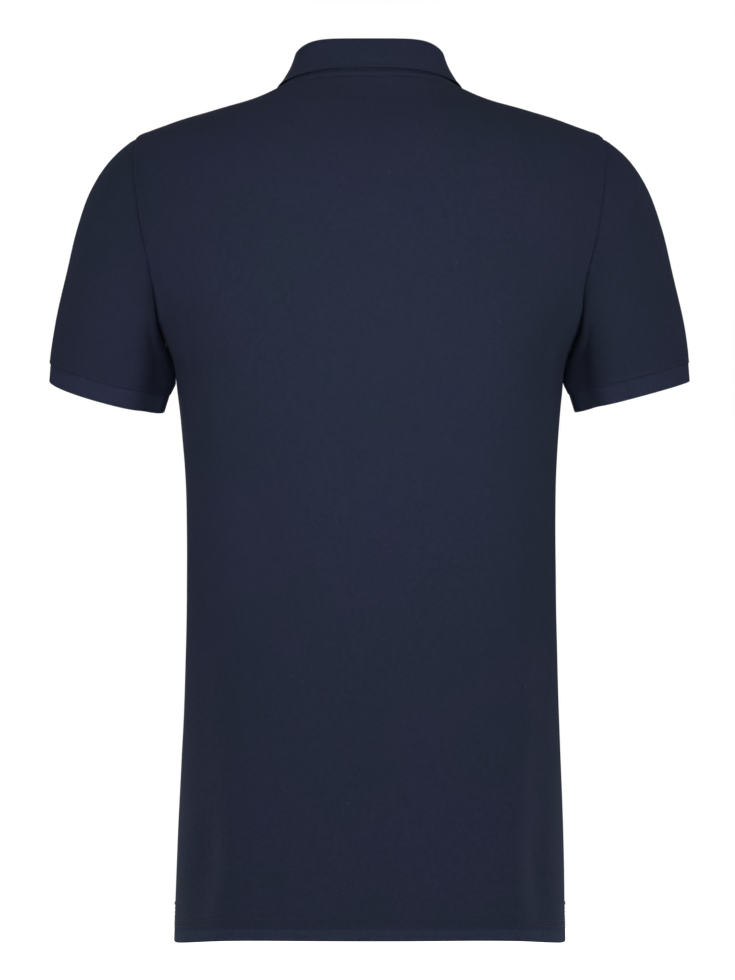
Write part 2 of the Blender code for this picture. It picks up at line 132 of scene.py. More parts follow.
#    outer_x, outer_z, inner_x, inner_z, back_y, front_y
SLEEVE = (
    (0.1985, -0.0368, 0.1800, -0.2000, 0.0690, -0.0760),
    (0.2192, -0.0540, 0.1764, -0.2085, 0.0680, -0.0750),
    (0.2362, -0.0794, 0.1724, -0.2160, 0.0650, -0.0730),
    (0.2483, -0.1134, 0.1685, -0.2240, 0.0600, -0.0690),
    (0.2578, -0.1520, 0.1666, -0.2320, 0.0545, -0.0650),
    (0.2669, -0.1920, 0.1658, -0.2420, 0.0480, -0.0610),
    (0.2720, -0.2270, 0.1672, -0.2540, 0.0430, -0.0580),
)
SLEEVE_SQUARE = 2.1
CUFF_EDGE = (0.2722, -0.2428, 0.1730, -0.2693, 0.0410, -0.0560)
CUFF_INSET = 0.0010
CUFF_BACK_DROP = {1: 0.0066, -1: 0.0020}
# Folds of a sleeve: degrees round it from its outer side (90 is behind), and share of its
# length from the armhole.
#    around_low, share_low, around_high, share_high, half_width, depth
SLEEVE_FOLDS = (
    (150, 0.00, 100, 0.95, 11, -0.0013),
    (180, 0.10, 180, 0.97, 15, 0.0006),
    (60, 0.10, 50, 1.00, 14, -0.0008),
    (205, 0.00, 260, 0.95, 11, -0.0013),
    (300, 0.10, 310, 1.00, 14, -0.0008),
)

COLLAR_FOOT = (-0.0015, 0.0747, 0.0527, -0.0496, 0.0215, -0.0675, 2.1)
COLLAR_FOLD = (0.0335, 0.0604, 0.0470, -0.0450, 0.0425, -0.0480, 3.2)
FOLD_RADIUS = 0.0020
COLLAR_END = math.radians(171)
#    turn in degrees, x, y, z, bulge
LEAF_EDGE = (
    (0, 0.0000, 0.0592, 0.0209, -0.0010),
    (35, 0.0425, 0.0530, 0.0185, -0.0010),
    (65, 0.0690, 0.0330, 0.0120, -0.0020),
    (90, 0.0795, 0.0010, 0.0050, -0.0022),
    (120, 0.0830, -0.0400, -0.0200, 0.0010),
    (145, 0.0740, -0.0800, -0.0600, 0.0060),
    (162, 0.0600, -0.1030, -0.0920, 0.0090),
    (171, 0.0490, -0.1090, -0.1050, 0.0100),
)
PLACKET_WIDTH = 0.030
BUTTON_RADIUS = 0.0057
BUTTON_HEIGHT = 0.0026

PROBE = 1e-4
SOLID_FOLDS = 7
# The scene's own folds wander by some degrees and swell by a share of their depth, as hanging
# cloth does, at this rate from one end of the fold to the other.
WANDER, WANDER_RATE = 1.2, 9
SWELL, SWELL_RATE = 0.35, 14
RUMPLE = 0.00022


# ---- surfaces
def wrapped(degrees):
    return (degrees + 180) % 360 - 180


def bell(distance, width):
    """One at no distance, falling smoothly to nothing within about two widths."""
    return np.exp(-((distance / width) ** 2))


def step(value, start, end):
    """Nothing up to the start, one from the end on, and smooth between them."""
    part = np.clip((value - start) / (end - start), 0, 1)
    return part * part * (3 - 2 * part)


def circle(count):
    return np.linspace(0, math.tau, count, endpoint=False)


def lengths(points, axis=0):
    """How far along a path, or along an axis of a grid, each point lies."""
    steps = np.linalg.norm(np.diff(points, axis=axis), axis=-1)
    return np.cumsum(np.insert(steps, 0, 0.0, axis=axis), axis=axis)


def smooth(rows, knots, at):
    """Every column of a table at the places `at`, on smooth curves through its rows."""
    rows = np.array(rows)
    slopes = np.gradient(rows, knots, axis=0, edge_order=2)
    at = np.asarray(at, dtype=float)
    low = np.clip(np.searchsorted(knots, at, side="right") - 1, 0, len(knots) - 2)
    gap = (knots[low + 1] - knots[low])[..., None]
    part = (at - knots[low])[..., None] / gap
    rest = 1 - part
    return (
        rows[low] * (1 + 2 * part) * rest**2
        + rows[low + 1] * (1 + 2 * rest) * part**2
        + slopes[low] * gap * part * rest**2
        - slopes[low + 1] * gap * rest * part**2
    )


def signed_power(value, exponent):
    return np.sign(value) * np.abs(value) ** exponent


def unit(vectors):
    return vectors / np.linalg.norm(vectors, axis=-1, keepdims=True)


def oval(turn, side_z, half_width, back_y, front_y, back_z, front_z, square, lean=0.0):
    across, along = np.sin(turn), np.cos(turn)
    behind = along > 0
    depth = np.where(behind, back_y, -front_y)
    middle_z = np.where(behind, back_z, front_z)
    x = lean + half_width * signed_power(across, 2 / square)
    y = depth * signed_power(along, 2 / square)
    z = side_z + (middle_z - side_z) * (1 - across**4)
    return np.stack((x, y, z), axis=-1)


def fold_push(turn, z):
    push = np.zeros(np.broadcast(turn, z).shape)
    for number, (turn_low, z_low, turn_high, z_high, half_width, depth) in enumerate(FOLDS):
        share = np.clip((z - z_low) / (z_high - z_low), 0, 1)
        own = 0.0 if number < SOLID_FOLDS else 1.0
        centre = turn_low + (turn_high - turn_low) * share
        centre = centre + own * WANDER * np.sin(WANDER_RATE * share + number)
        swell = 1 + own * SWELL * np.sin(SWELL_RATE * share + 2.3 * number)
        rising = depth * swell * np.sin(math.pi * share) ** 2
        push += rising * bell(wrapped(np.degrees(turn) - centre), half_width)
    return push


def rumple(points):
    """Slight unevenness of worn cloth, the same at the same place each time."""
    x, y, z = np.moveaxis(points, -1, 0)
    slow = np.sin(61 * x + 23 * z + 1.1) * np.sin(47 * z - 31 * y + 0.4)
    quick = np.sin(118 * x - 71 * y + 2.0) * np.sin(97 * z + 64 * x + 0.9)
    return RUMPLE * (slow + 0.5 * quick)


TORSO_KNOTS = lengths(np.array(TORSO)[:, :2])
UNDERARM = TORSO_KNOTS[UNDERARM_ROW]
TIP = TORSO_KNOTS[TIP_ROW]
NECK = TORSO_KNOTS[-1]
SLEEVE_KNOTS = lengths(np.array(SLEEVE)[:, :2])


def torso(level, turn):
    level, turn = np.broadcast_arrays(level, turn)
    points = oval(turn, *np.moveaxis(smooth(TORSO, TORSO_KNOTS, level), -1, 0))
    reach = np.hypot(points[..., 0], points[..., 1])
    scale = 1 + fold_push(turn, points[..., 2]) / reach
    return points * np.stack((scale, scale, np.ones_like(scale)), axis=-1)


def torso_tangents(level, turn):
    """How the body runs up and round, for each metre of level and radian of turn."""
    up = torso(level + PROBE, turn) - torso(level - PROBE, turn)
    around = torso(level, turn + PROBE) - torso(level, turn - PROBE)
    return up / (2 * PROBE), around / (2 * PROBE)


def torso_normal(level, turn):
    return unit(np.cross(*torso_tangents(level, turn)))


def armhole_level(share):
    """The level at a share of the way up an armhole, closer together at both ends."""
    return UNDERARM + (TIP - UNDERARM) * (1 - np.cos(math.pi * share)) / 2


def armhole_turn(level, depth):
    """The turn of a panel's edge at the armhole, from the panel's middle."""
    share = np.clip((level - UNDERARM) / (TIP - UNDERARM), 0, 1)
    return QUARTER - depth * 2 * np.sqrt(share * (1 - share))


def side_turn(level, middle):
    """The turn at which a panel stops, a gap short of the other panel, wider in the vents."""
    row = smooth(TORSO, TORSO_KNOTS, level)
    reach = row[..., 2] if middle == 0 else -row[..., 3]
    spread = VENT_SPREAD * np.clip(1 - level / VENT_HEIGHT, 0, 1)
    return np.arccos(((spread + SEAM_GAP / 2) / reach) ** (row[..., 6] / 2))


def turn_across(across, level):
    """The turn from a panel's middle at which the body is this far across."""
    row = smooth(TORSO, TORSO_KNOTS, level)
    return np.sign(across) * np.arcsin((np.abs(across) / row[..., 1]) ** (row[..., 6] / 2))


# ---- mesh helpers
EDGE_LEFT = 0.02  # so that a rounded edge doesn't close to nothing


def grid_numbers(grid, start, closed):
    """Numbers for a grid's points. A closed grid's columns end with the first one again."""
    numbers = start + np.arange(grid.size // 3).reshape(grid.shape[:-1])
    return np.concatenate((numbers, numbers[..., :1]), axis=-1) if closed else numbers


def quads(numbers):
    low, high = numbers[..., :-1, :], numbers[..., 1:, :]
    corners = (low[..., :-1], high[..., :-1], high[..., 1:], low[..., 1:])
    return np.stack(corners, axis=-1).reshape(-1, 4)


def strip(first, second):
    return np.stack((first[:-1], second[:-1], second[1:], first[1:]), axis=-1)


def mesh_object(name, points, faces, material, coordinates=None):
    """A smooth mesh; coordinates holds (u, v) in metres for each corner of each face."""
    if coordinates is None:
        coordinates = points[faces.ravel()][:, [0, 2]]
    mesh = bpy.data.meshes.new(name)
    mesh.from_pydata(points.tolist(), [], faces.tolist())
    layer = mesh.uv_layers.new(name="cloth")
    layer.data.foreach_set("uv", coordinates.astype(np.float32).ravel())
    mesh.shade_smooth()
    mesh.materials.append(material)
    obj = bpy.data.objects.new(name, mesh)
    bpy.context.scene.collection.objects.link(obj)
    return obj


def wall_object(name, outer, inner, material, closed=False):
    """Cloth between two grids of points. The weave's coordinates are lengths along the cloth."""
    ring = np.concatenate((outer, outer[:, :1]), axis=1) if closed else outer
    across = lengths(ring, 1)
    across = across - across[:, across.shape[1] // 2][:, None]
    half = across[:, -1]
    # the step between two rows is the area between them over the sum of their half widths
    rising, falling = ring[1:, 1:] - ring[:-1, :-1], ring[1:, :-1] - ring[:-1, 1:]
    area = np.linalg.norm(np.cross(rising, falling), axis=-1).sum(axis=1) / 2
    along = np.insert(np.cumsum(area / (half[:-1] + half[1:])), 0, 0.0)
    along = along[:, None] + 0 * across
    weave = np.stack((across, along), axis=-1).reshape(-1, 2)

    front = grid_numbers(outer, 0, closed)
    rear = grid_numbers(inner, outer.size // 3, closed)
    flat = grid_numbers(ring, 0, False)
    faces = [quads(front), quads(rear)[:, ::-1]]
    corners = [quads(flat), quads(flat)[:, ::-1]]
    rims = [(rear[0], front[0], flat[0]), (front[-1], rear[-1], flat[-1])]
    if not closed:
        rims += [(front[:, 0], rear[:, 0], flat[:, 0]), (rear[:, -1], front[:, -1], flat[:, -1])]
    for first, second, places in rims:
        faces.append(strip(first, second))
        corners.append(strip(places, places))
    points = np.concatenate((outer.reshape(-1, 3), inner.reshape(-1, 3)))
    coordinates = weave[np.concatenate(corners)].reshape(-1, 2)
    return mesh_object(name, points, np.concatenate(faces), material, coordinates)


def near(points, edge):
    """Distance from each point to the nearest of an edge's points."""
    tree = KDTree(len(edge))
    for number, place in enumerate(edge):
        tree.insert(Vector(place), number)
    tree.balance()
    flat = points.reshape(-1, 3)
    return np.array([tree.find(Vector(p))[2] for p in flat]).reshape(points.shape[:-1])


def rounding(distance, half):
    """How much of its half thickness a wall has this far from a rounded edge."""
    inside = np.clip(1 - distance / half, 0, 1)
    return np.sqrt(np.clip(1 - inside**2, EDGE_LEFT, 1))


def wall_faces(surface, normal, wall, full):
    """The outer and inner points of a wall under a surface, thinner where it isn't full."""
    full, wall = full[..., None], wall / 2
    return surface - (1 - full) * wall * normal, surface - (1 + full) * wall * normal


# ---- materials
class Nodes:
    """Short ways to add and link shader nodes."""

    def __init__(self, tree):
        self.tree = tree

    def new(self, kind, **settings):
        node = self.tree.nodes.new(kind)
        for key, value in settings.items():
            setattr(node, key, value)
        return node

    def feed(self, node, values):
        """Links each named or numbered socket to another socket, or sets it to a value."""
        for name, value in values.items():
            if hasattr(value, "links"):
                self.tree.links.new(value, node.inputs[name])
            else:
                node.inputs[name].default_value = value

    def math(self, operation, first, second=0.0):
        node = self.new("ShaderNodeMath", operation=operation)
        self.feed(node, {0: first, 1: second})
        return node.outputs[0]

    def add(self, first, second):
        return self.math("ADD", first, second)

    def times(self, first, second):
        return self.math("MULTIPLY", first, second)

    def noise(self, vector, scale, detail=2.0, roughness=0.5):
        node = self.new("ShaderNodeTexNoise")
        values = {"Vector": vector, "Scale": scale, "Detail": detail, "Roughness": roughness}
        self.feed(node, values)
        return node.outputs["Fac"]

    def spread(self, value, low, high, to_low=0.0, to_high=1.0):
        node = self.new("ShaderNodeMapRange", clamp=True)
        self.feed(node, {"Value": value, "From Min": low, "From Max": high})
        self.feed(node, {"To Min": to_low, "To Max": to_high})
        return node.outputs["Result"]

    def mix(self, share, first, second, blend="MIX"):
        node = self.new("ShaderNodeMix", data_type="RGBA", blend_type=blend)
        self.feed(node, {0: share, 6: first, 7: second})
        return node.outputs[2]

    def wave(self, value, period, share):
        """A cosine with this period, as high as its share of the pattern."""
        return self.times(self.math("COSINE", self.times(value, math.tau / period)), share)

    def bump(self, shader, height, strength, depth):
        node = self.new("ShaderNodeBump")
        self.feed(node, {"Height": height, "Strength": strength, "Distance": depth})
        self.feed(shader, {"Normal": node.outputs[0]})


def principled(name):
    """A new material, the helper for its nodes, its shader, and the place on the object."""
    material = bpy.data.materials.new(name)
    material.use_nodes = True
    nodes = Nodes(material.node_tree)
    place = nodes.new("ShaderNodeTexCoord").outputs["Object"]
    return material, nodes, material.node_tree.nodes["Principled BSDF"], place


# What the cloth's colour moves between: violet navy, and a greener navy.
NAVY = (0.0193, 0.0224, 0.0467, 1)
NAVY_GREEN = (0.0172, 0.0234, 0.0422, 1)
SPECK = (0.0440, 0.0500, 0.0760, 1)  # a few lighter fibre ends
SHEEN = (0.55, 0.65, 1.0, 1)
THREAD_COLOURS = (0.0125, 0.0150, 0.0300, 1), (0.0185, 0.0215, 0.0390, 1)
BUTTON_COLOURS = (0.0100, 0.0125, 0.0240, 1), (0.0200, 0.0240, 0.0420, 1)
CUFF_LIGHTNESS = 1.18
# The hem's lower half is painted lighter, a painted highlight.
HEM_HIGHLIGHT_LIGHTNESS, HEM_HIGHLIGHT_HEIGHT, HEM_HIGHLIGHT_FADE = 1.26, HEM_HEIGHT / 2, 0.0005
YARN_WOBBLE, COURSE_WOBBLE = 0.0003, 0.00015  # across and along the cloth
# Heights of the knits' relief, and the periods of their wales, courses and loops, in metres.
PIQUE_RELIEF, FLAT_KNIT_RELIEF, RIB_RELIEF = 0.00022, 0.00014, 0.00010
CELL_WIDTH, CELL_HEIGHT, LOOP_HEIGHT = 0.0017, 0.00075, 0.000375
WALE_WIDTH, FINE_WALE_WIDTH, COURSE_HEIGHT = 0.0013, 0.0008, 0.00045


def knit_material(name, pattern, lightness=1.0, highlight_band=0.0):
    """A navy knit. pattern takes the node helper and the cloth's u and v, in metres, and gives its
    relief, from -1 to 1, and how deep that is;
    the relief is also painted into the colour, hollows darker as painted shade and raised loops
    lighter as painted highlight. Below the band's height the cloth is painted lighter, a painted
    highlight."""
    material, nodes, shader, place = principled(name)
    split = nodes.new("ShaderNodeSeparateXYZ")
    nodes.feed(split, {0: nodes.new("ShaderNodeUVMap", uv_map="cloth").outputs["UV"]})
    wobble = nodes.math("SUBTRACT", nodes.noise(place, 900.0), 0.5)
    u = nodes.add(split.outputs["X"], nodes.times(wobble, YARN_WOBBLE))
    v = nodes.add(split.outputs["Y"], nodes.times(wobble, COURSE_WOBBLE))
    height, depth = pattern(nodes, u, v)

    cloud = nodes.spread(nodes.noise(place, 9.0, 3.0), 0.35, 0.65)
    colour = nodes.mix(cloud, NAVY, NAVY_GREEN)
    # the knit's relief is painted into its colour: hollows darker, a painted shade, and raised
    # loops lighter, a painted highlight
    shade = nodes.spread(height, -1.0, 1.0, 0.72, 1.18)
    low, high = 0.90 * lightness, 1.10 * lightness
    tone_shade_and_highlight = nodes.times(shade, nodes.spread(nodes.noise(place, 260.0), 0.3, 0.7, low, high))
    # a band along the lower edge is painted lighter: a painted highlight
    if highlight_band:
        low, high = highlight_band - HEM_HIGHLIGHT_FADE / 2, highlight_band + HEM_HIGHLIGHT_FADE
        tone_shade_and_highlight = nodes.times(tone_shade_and_highlight, nodes.spread(v, low, high, HEM_HIGHLIGHT_LIGHTNESS, 1.0))
    # the cloth's own random tone, with the painted relief shade and the painted hem highlight, as
    # one grey that darkens or lightens the navy
    grey = nodes.new("ShaderNodeCombineColor")
    nodes.feed(grey, {"Red": tone_shade_and_highlight, "Green": tone_shade_and_highlight, "Blue": tone_shade_and_highlight})
    colour = nodes.mix(1.0, colour, grey.outputs[0], "MULTIPLY")
    cells = nodes.new("ShaderNodeTexVoronoi", feature="F1")
    nodes.feed(cells, {"Vector": place, "Scale": 95.0})
    near_centre = nodes.spread(cells.outputs["Distance"], 0.05, 0.075, 1.0, 0.0)
    chosen = nodes.math("GREATER_THAN", nodes.noise(place, 45.0), 0.60)
    colour = nodes.mix(nodes.times(near_centre, chosen), colour, SPECK)
    rough = nodes.spread(nodes.noise(place, 500.0), 0.3, 0.7, 0.82, 0.95)
    nodes.feed(shader, {"Base Color": colour, "Roughness": rough, "Specular IOR Level": 0.05})
    nodes.feed(shader, {"Sheen Weight": 0.02, "Sheen Roughness": 0.45, "Sheen Tint": SHEEN})
    nodes.bump(shader, height, 0.7, depth)
    return material


def pique_pattern(nodes, u, v):
    """A honeycomb of small raised cells in staggered rows."""
    cells = nodes.times(nodes.wave(u, CELL_WIDTH, 1.0), nodes.wave(v, CELL_HEIGHT, 0.85))
    return nodes.add(cells, nodes.wave(v, LOOP_HEIGHT, 0.15)), PIQUE_RELIEF


def flat_knit_pattern(nodes, u, v):
    """A collar's close rib: fine upright wales, crossed by the courses."""
    wales, courses = nodes.wave(u, WALE_WIDTH, 0.45), nodes.wave(v, COURSE_HEIGHT, 0.25)
    return nodes.add(wales, courses), FLAT_KNIT_RELIEF


def rib_pattern(nodes, u, v):
    """A cuff's courses; its ribs are in the mesh."""
    courses, fine = nodes.wave(v, COURSE_HEIGHT, 0.6), nodes.wave(u, FINE_WALE_WIDTH, 0.4)
    return nodes.add(courses, fine), RIB_RELIEF


def thread_material():
    material, nodes, shader, place = principled("thread")
    colour = nodes.mix(nodes.spread(nodes.noise(place, 700.0), 0.3, 0.7), *THREAD_COLOURS)
    nodes.feed(shader, {"Base Color": colour, "Roughness": 0.6, "Specular IOR Level": 0.2})
    nodes.bump(shader, nodes.noise(place, 3000.0), 0.5, 0.0001)
    return material


def button_material():
    material, nodes, shader, place = principled("button_plastic")
    marbled = nodes.spread(nodes.noise(place, 160.0, 4.0, 0.6), 0.35, 0.65)
    rough = nodes.spread(nodes.noise(place, 900.0), 0.3, 0.7, 0.25, 0.4)
    nodes.feed(shader, {"Base Color": nodes.mix(marbled, *BUTTON_COLOURS), "Roughness": rough})
    nodes.bump(shader, nodes.noise(place, 1200.0), 0.2, 0.0001)
    return material


PIQUE = knit_material("pique_knit", pique_pattern)
# the panels' pique, with the hem's lower half painted lighter, a painted highlight
PIQUE_WITH_HEM_HIGHLIGHT = knit_material("pique_knit_painted_hem_highlight", pique_pattern, highlight_band=HEM_HIGHLIGHT_HEIGHT)
FLAT_KNIT = knit_material("flat_knit", flat_knit_pattern)
RIB = knit_material("rib_knit", rib_pattern, lightness=CUFF_LIGHTNESS)
THREAD = thread_material()
PLASTIC = button_material()

# ---- body panels
# How far the cloth turns in at a seam and under a row of stitches, and how wide each groove is.
SEAM_GROOVE, ARMHOLE_GROOVE, SEAM_WIDTH = 0.0007, 0.0003, 0.0014
STITCH_GROOVE, STITCH_WIDTH, FINE_WIDTH = 0.00025, 0.0008, 0.0007
NECK_GROOVE, NECK_WIDTH = 0.0006, 0.0012
ALLOWANCE = 0.0075  # width of the seam's doubled cloth underneath
ALLOWANCE_LIFT = 0.00085
HEM_LIFT = 0.0003
SMOOTH_EDGE = 0.02  # how far from a seam the cloth is even
HEM_STITCHES = (0.0137, 0.0185)  # up the hem
# Rows of stitches: how far each runs from its edge.
ARMHOLE_STITCHES, SHOULDER_STITCHES = 0.0060, 0.0050
NECK_STITCHES, VENT_STITCHES = 0.0118, 0.0060
NECK_FINE = 0.0180  # the last stretch up to the neck, where the rows lie closer


def panel_levels():
    edge = (0, 0.00015, 0.0004, 0.0008, 0.0013, 0.0025, 0.0050, 0.0080, 0.0105)
    hem = (0.0125, 0.0131, 0.0137, 0.0143, 0.0149, 0.0161, 0.0173, 0.0179, 0.0185, 0.0191, 0.0197)
    above = (0.0210, 0.0235, 0.0260, 0.0290)
    body = np.linspace(0.0320, UNDERARM, 138, endpoint=False)
    armhole = armhole_level(np.linspace(0, 1, 76))
    shoulder = np.linspace(TIP, NECK - NECK_FINE, 26)[1:]
    neck = np.linspace(NECK - NECK_FINE, NECK, 24)[1:]
    return np.concatenate((edge, hem, above, body, armhole, shoulder, neck))


def panel_places(middle, depth):
    """Levels and turns of a panel's grid, whose columns follow the placket and the edges."""
    levels = panel_levels()
    edge = np.minimum(armhole_turn(levels, depth), side_turn(levels, middle))[:, None]
    placket = turn_across(PLACKET_WIDTH / 2, levels)[:, None]
    last = (0.9850, 0.9900, 0.9935, 0.9960, 0.9978, 0.9990, 1.0)
    share = np.concatenate((np.linspace(0, 0.98, 52), last))
    half = placket + (QUARTER - placket) * share - (QUARTER - edge) * share**2
    inner = placket * np.linspace(0, 1, 6)[None, :-1]
    half = np.concatenate((inner, half), axis=1)
    turns = np.concatenate((-half[:, :0:-1], half), axis=1)
    return levels[:, None] + 0 * turns, middle + turns


def panel_edges(middle, depth, side):
    """Points along a panel's sewn edges on one side: underarm seam, armhole, shoulder, neck."""
    sign = side if middle == 0 else -side
    along = {
        "side": np.linspace(VENT_HEIGHT, UNDERARM, 300),
        "vent": np.linspace(0, VENT_HEIGHT, 40),
        "armhole": armhole_level(np.linspace(0, 1, 300)),
        "shoulder": np.linspace(TIP, NECK, 120),
    }
    edges = {}
    for name, levels in along.items():
        turns = side_turn(levels, middle)
        if name == "armhole":
            turns = np.minimum(armhole_turn(levels, depth), turns)
        edges[name] = (levels, middle + sign * turns)
    if middle == 0:
        turns = np.linspace(0, QUARTER, 300)
        edges["neck"] = (np.full(turns.shape, NECK), sign * turns)
    return edges


def offset_path(levels, turns, distance, inward):
    """The places a distance away from a path on the body, towards `inward` (+1 or -1)."""
    along = unit(np.gradient(torso(levels, turns), axis=0))
    up, around = torso_tangents(levels, turns)
    aside = inward * distance * np.cross(unit(np.cross(up, around)), along)
    uu, uv, vv = (up * up).sum(-1), (up * around).sum(-1), (around * around).sum(-1)
    au, av = (aside * up).sum(-1), (aside * around).sum(-1)
    scale = uu * vv - uv * uv
    return levels + (au * vv - av * uv) / scale, turns + (av * uu - au * uv) / scale


def panel_relief(points, levels, edges):
    """How far the sewing pushes a panel's cloth out of the plain surface."""

    def away(*names):
        return near(points, np.concatenate([torso(*e[name]) for e in edges for name in names]))

    seam, armhole = away("side", "shoulder"), away("armhole")
    push = -SEAM_GROOVE * bell(seam, SEAM_WIDTH) - ARMHOLE_GROOVE * bell(armhole, SEAM_WIDTH)
    doubled = step(armhole, 0.0008, 0.0025) * (1 - step(armhole, ALLOWANCE, ALLOWANCE + 0.004))
    push += ALLOWANCE_LIFT * doubled * step(levels, UNDERARM, UNDERARM + 0.03)
    push -= STITCH_GROOVE * bell(armhole - ARMHOLE_STITCHES, STITCH_WIDTH)
    if "neck" in edges[0]:
        push -= NECK_GROOVE * bell(away("neck") - NECK_STITCHES, NECK_WIDTH)
    for height in HEM_STITCHES:
        push -= STITCH_GROOVE * bell(levels - height, FINE_WIDTH)
    push += HEM_LIFT * (1 - step(levels, HEM_HEIGHT - 0.001, HEM_HEIGHT + 0.004))
    return push + step(np.minimum(seam, armhole), 0.0, SMOOTH_EDGE) * rumple(points)


PANEL_EDGES = {
    (middle, side): panel_edges(middle, depth, side)
    for middle, depth in ((0, BACK_ARMHOLE), (HALF, FRONT_ARMHOLE))
    for side in (1, -1)
}


def add_panel(name, middle, depth):
    levels, turns = panel_places(middle, depth)
    surface, normal = torso(levels, turns), torso_normal(levels, turns)
    edges = [PANEL_EDGES[(middle, side)] for side in (1, -1)]
    surface = surface + panel_relief(surface, levels, edges)[..., None] * normal
    doubled = 1 - step(levels, HEM_HEIGHT, HEM_HEIGHT + 0.0008)
    wall = (PIQUE_WALL + (HEM_WALL - PIQUE_WALL) * doubled)[..., None]
    faces = wall_faces(surface, normal, wall, rounding(levels, HEM_WALL / 2))
    return wall_object(name, *faces, PIQUE_WITH_HEM_HIGHLIGHT)


# ---- stitches
STITCH_SIDES = 5
STITCH_RINGS = np.array((0.0, 0.22, 0.5, 0.78, 1.0))
STITCH_ARCH = np.array((-0.8, 0.35, 0.75, 0.35, -0.8))  # in thread radii


def stitch_rings(points, normals, length, gap, radius):
    """Rings of points round the thread, for each stitch of a row along a path."""
    along = lengths(points)
    count = int((along[-1] + gap) / (length + gap))
    starts = (along[-1] - count * (length + gap) + gap) / 2 + np.arange(count) * (length + gap)
    at = starts[:, None] + length * STITCH_RINGS
    centre, out = (
        np.stack([np.interp(at, along, column) for column in values.T], axis=-1)
        for values in (points, normals)
    )
    out = unit(out)
    tangent = unit(centre[:, -1:] - centre[:, :1]) + 0 * centre
    aside = unit(np.cross(out, tangent))
    centre = centre + out * (radius * STITCH_ARCH)[None, :, None]
    angle = circle(STITCH_SIDES)[:, None]
    around = np.cos(angle) * aside[:, :, None] + np.sin(angle) * out[:, :, None]
    return centre[:, :, None] + radius * around


def sewing(name, rows, slot="pique", length=0.0026, gap=0.0009, radius=0.00024):
    """One piece of thread, in rows of (points, normals), which rides with the cloth."""
    rings = np.concatenate([stitch_rings(*row, length, gap, radius) for row in rows])
    faces = quads(grid_numbers(rings, 0, closed=True))[:, [0, 3, 2, 1]]
    thread = mesh_object(name, rings.reshape(-1, 3), faces, THREAD)
    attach(thread, "root")
    return thread


def on_panel(levels, turns, lift=0.0):
    """Path points and normals on the body, pressed into the cloth by the stitching."""
    normal = torso_normal(levels, turns)
    base = torso(levels, turns)
    rise = rumple(base) + lift - STITCH_GROOVE
    return base + rise[:, None] * normal, normal


# ---- sleeves and cuffs
SLEEVE_LENGTH = 0.150  # nominal, from the armhole to the cuff
UNDERARM_RADIUS = 0.050  # of the sleeve's tube, under the arm
CUFF_STITCHES = 0.0030
# Where the sleeve sinks beside the body, in degrees round it, how wide and how far, and the
# shares of its length from which and to which that grows.
HOLLOWS, HOLLOW_WIDTH, HOLLOW_DEPTH = (141, 219), 21, -0.0082
HOLLOW_START, HOLLOW_FULL = 0.10, 0.60
# Between the hollows the sleeve's inner side reaches out to the body.
INNER_SIDE, INNER_WIDTH = 180, 18
#    share of the length, push
AGAINST_BODY = (
    (0.04, 0.0000), (0.10, 0.0010), (0.15, 0.0012), (0.30, 0.0008), (0.42, 0.0005),
    (0.52, 0.0005), (0.62, 0.0008), (0.75, 0.0013), (0.88, 0.0022), (1.00, -0.0008),
)
SLEEVE_WANDER, SLEEVE_WANDER_RATE = 3, 7
SLEEVE_COLUMNS = 152
CUFF_RIBS = 190
RIB_SAMPLES = 6
RIB_DEPTH = 0.00022


def sleeve_section(columns, around, side, drop):
    outer_x, outer_z, inner_x, inner_z, back_y, front_y = np.moveaxis(columns, -1, 0)
    out = signed_power(np.cos(around), 2 / SLEEVE_SQUARE)
    back = signed_power(np.sin(around), 2 / SLEEVE_SQUARE)
    x = (outer_x + inner_x) / 2 + (outer_x - inner_x) / 2 * out
    z = (outer_z + inner_z) / 2 + (outer_z - inner_z) / 2 * out - drop * back
    y = np.where(back > 0, back_y * back, -front_y * back)
    return np.stack((side * x, y, z), axis=-1)


def armhole_place(around, side):
    """The level and turn on the body where the sleeve starts, this far round it."""
    around = around % math.tau
    behind = around <= math.pi
    share = np.abs(1 - around / math.pi)
    depth = np.where(behind, BACK_ARMHOLE, FRONT_ARMHOLE)
    turn = QUARTER - depth * np.sin(math.pi * share)
    return armhole_level(share), side * np.where(behind, turn, HALF - turn)


def sleeve(share, around, side):
    share, around = np.broadcast_arrays(share, around)
    drop = CUFF_BACK_DROP[side] * share**2
    columns = smooth(SLEEVE, SLEEVE_KNOTS, share * SLEEVE_KNOTS[-1])
    plain = sleeve_section(columns, around, side, drop)
    start = sleeve_section(np.array(SLEEVE[0]), around, side, 0)
    ease = (1 - share[..., None]) ** 2
    return plain + (torso(*armhole_place(around, side)) - start) * ease


def sleeve_directions(share, around, side):
    down = sleeve(share + PROBE, around, side) - sleeve(share - PROBE, around, side)
    round_it = sleeve(share, around + PROBE, side) - sleeve(share, around - PROBE, side)
    return unit(down), side * unit(np.cross(down, round_it))


def sleeve_push(share, around):
    push = np.zeros(np.broadcast(share, around).shape)
    degrees = np.degrees(around)
    for number, (low, share_low, high, share_high, half_width, depth) in enumerate(SLEEVE_FOLDS):
        part = np.clip((share - share_low) / (share_high - share_low), 0, 1)
        centre = low + (high - low) * part
        centre = centre + SLEEVE_WANDER * np.sin(SLEEVE_WANDER_RATE * part + number)
        push += depth * np.sin(math.pi * part) ** 2 * bell(wrapped(degrees - centre), half_width)
    sunk = HOLLOW_DEPTH * step(share, HOLLOW_START, HOLLOW_FULL)
    for centre in HOLLOWS:
        push += sunk * bell(wrapped(degrees - centre), HOLLOW_WIDTH)
    rest = np.interp(share, *np.transpose(AGAINST_BODY))
    return push + rest * bell(wrapped(degrees - INNER_SIDE), INNER_WIDTH)


